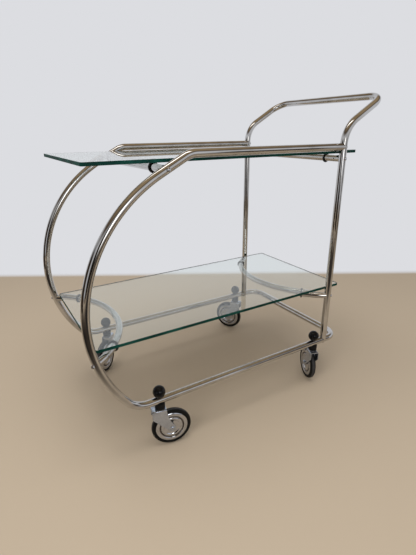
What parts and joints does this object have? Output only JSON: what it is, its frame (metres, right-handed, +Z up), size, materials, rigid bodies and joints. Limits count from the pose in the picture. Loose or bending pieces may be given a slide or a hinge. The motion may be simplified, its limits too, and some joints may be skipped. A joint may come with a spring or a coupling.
{
  "type": "serving trolley",
  "caption": "Serving trolley of bent chrome tube with arched ends, two glass shelves, a push handle and swivel casters with black wheels.",
  "frame": {"origin": "on the floor, midway along the frame from the front arch to the handle bar, in the plane of symmetry", "axes": "+X from the front arch to the push handle, +Y to the right of whoever pushes it towards -X, +Z up"},
  "size_m": [0.9093, 0.5352, 0.8857],
  "materials": {
    "frame_chrome": "polished chrome plate, lightly worn",
    "screw_plate": "bright plated steel",
    "cap_chrome": "pressed and chromed sheet steel",
    "fork_plate": "zinc plated pressed steel",
    "plain_steel": "plain turned steel",
    "float_glass": "clear float glass with ground edges",
    "ring_rubber": "black rubber cord",
    "black_knob": "moulded black ball, glossy",
    "black_housing": "moulded black plastic",
    "tyre_rubber": "black rubber, dusty from use"
  },
  "bodies": {
    "trolley_frame": {"left_side_tube": "frame_chrome", "right_side_tube": "frame_chrome", "rear_bar_sleeve": "plain_steel", "handle_frame": "frame_chrome", "upper_front_cross_tube": "frame_chrome", "upper_rear_cross_tube": "frame_chrome", "lower_front_bow": "frame_chrome", "lower_rear_bow": "frame_chrome", "upper_rings": "ring_rubber", "lower_rings": "ring_rubber", "top_glass": "float_glass", "lower_glass": "float_glass", "rail_screws": "screw_plate", "foot_screws": "screw_plate", "cross_tube_screws": "screw_plate", "bow_screws": "screw_plate", "frame_plugs": "plain_steel", "cross_tube_plugs": "plain_steel", "bow_plugs": "plain_steel", "front_left_ball_knob": "black_knob", "front_left_stem": "plain_steel", "front_left_stem_housing": "black_housing", "front_left_swivel_race": "plain_steel", "rear_left_ball_knob": "black_knob", "rear_left_stem": "plain_steel", "rear_left_stem_housing": "black_housing", "rear_left_swivel_race": "plain_steel", "front_right_ball_knob": "black_knob", "front_right_stem": "plain_steel", "front_right_stem_housing": "black_housing", "front_right_swivel_race": "plain_steel", "rear_right_ball_knob": "black_knob", "rear_right_stem": "plain_steel", "rear_right_stem_housing": "black_housing", "rear_right_swivel_race": "plain_steel"},
    "front_left_swivel": {"front_left_fork": "fork_plate", "front_left_axle": "fork_plate", "front_left_axle_bush": "plain_steel"},
    "front_left_wheel": {"front_left_wheel_core": "black_housing", "front_left_tyre": "tyre_rubber", "front_left_hubcaps": "cap_chrome"},
    "rear_left_swivel": {"rear_left_fork": "fork_plate", "rear_left_axle": "fork_plate", "rear_left_axle_bush": "plain_steel"},
    "rear_left_wheel": {"rear_left_wheel_core": "black_housing", "rear_left_tyre": "tyre_rubber", "rear_left_hubcaps": "cap_chrome"},
    "front_right_swivel": {"front_right_fork": "fork_plate", "front_right_axle": "fork_plate", "front_right_axle_bush": "plain_steel"},
    "front_right_wheel": {"front_right_wheel_core": "black_housing", "front_right_tyre": "tyre_rubber", "front_right_hubcaps": "cap_chrome"},
    "rear_right_swivel": {"rear_right_fork": "fork_plate", "rear_right_axle": "fork_plate", "rear_right_axle_bush": "plain_steel"},
    "rear_right_wheel": {"rear_right_wheel_core": "black_housing", "rear_right_tyre": "tyre_rubber", "rear_right_hubcaps": "cap_chrome"}
  },
  "joints": [
    {"name": "front_left_swivel_turn", "type": "hinge", "parent": "trolley_frame", "child": "front_left_swivel", "pos_m": [-0.28708, -0.22, 0.1], "axis": [0, 0, 1], "continuous": true},
    {"name": "front_left_wheel_spin", "type": "hinge", "parent": "front_left_swivel", "child": "front_left_wheel", "pos_m": [-0.26018, -0.22572, 0.0535], "axis": [0.2079, 0.9781, 0], "continuous": true},
    {"name": "rear_left_swivel_turn", "type": "hinge", "parent": "trolley_frame", "child": "rear_left_swivel", "pos_m": [0.25565, -0.22, 0.1], "axis": [0, 0, 1], "continuous": true},
    {"name": "rear_left_wheel_spin", "type": "hinge", "parent": "rear_left_swivel", "child": "rear_left_wheel", "pos_m": [0.26684, -0.19488, 0.0535], "axis": [-0.9135, 0.4067, 0], "continuous": true},
    {"name": "front_right_swivel_turn", "type": "hinge", "parent": "trolley_frame", "child": "front_right_swivel", "pos_m": [-0.28708, 0.22, 0.1], "axis": [0, 0, 1], "continuous": true},
    {"name": "front_right_wheel_spin", "type": "hinge", "parent": "front_right_swivel", "child": "front_right_wheel", "pos_m": [-0.30618, 0.20022, 0.0535], "axis": [0.7193, -0.6947, 0], "continuous": true},
    {"name": "rear_right_swivel_turn", "type": "hinge", "parent": "trolley_frame", "child": "rear_right_swivel", "pos_m": [0.25565, 0.22, 0.1], "axis": [0, 0, 1], "continuous": true},
    {"name": "rear_right_wheel_spin", "type": "hinge", "parent": "rear_right_swivel", "child": "rear_right_wheel", "pos_m": [0.24027, 0.2428, 0.0535], "axis": [-0.829, -0.5592, 0], "continuous": true}
  ]
}
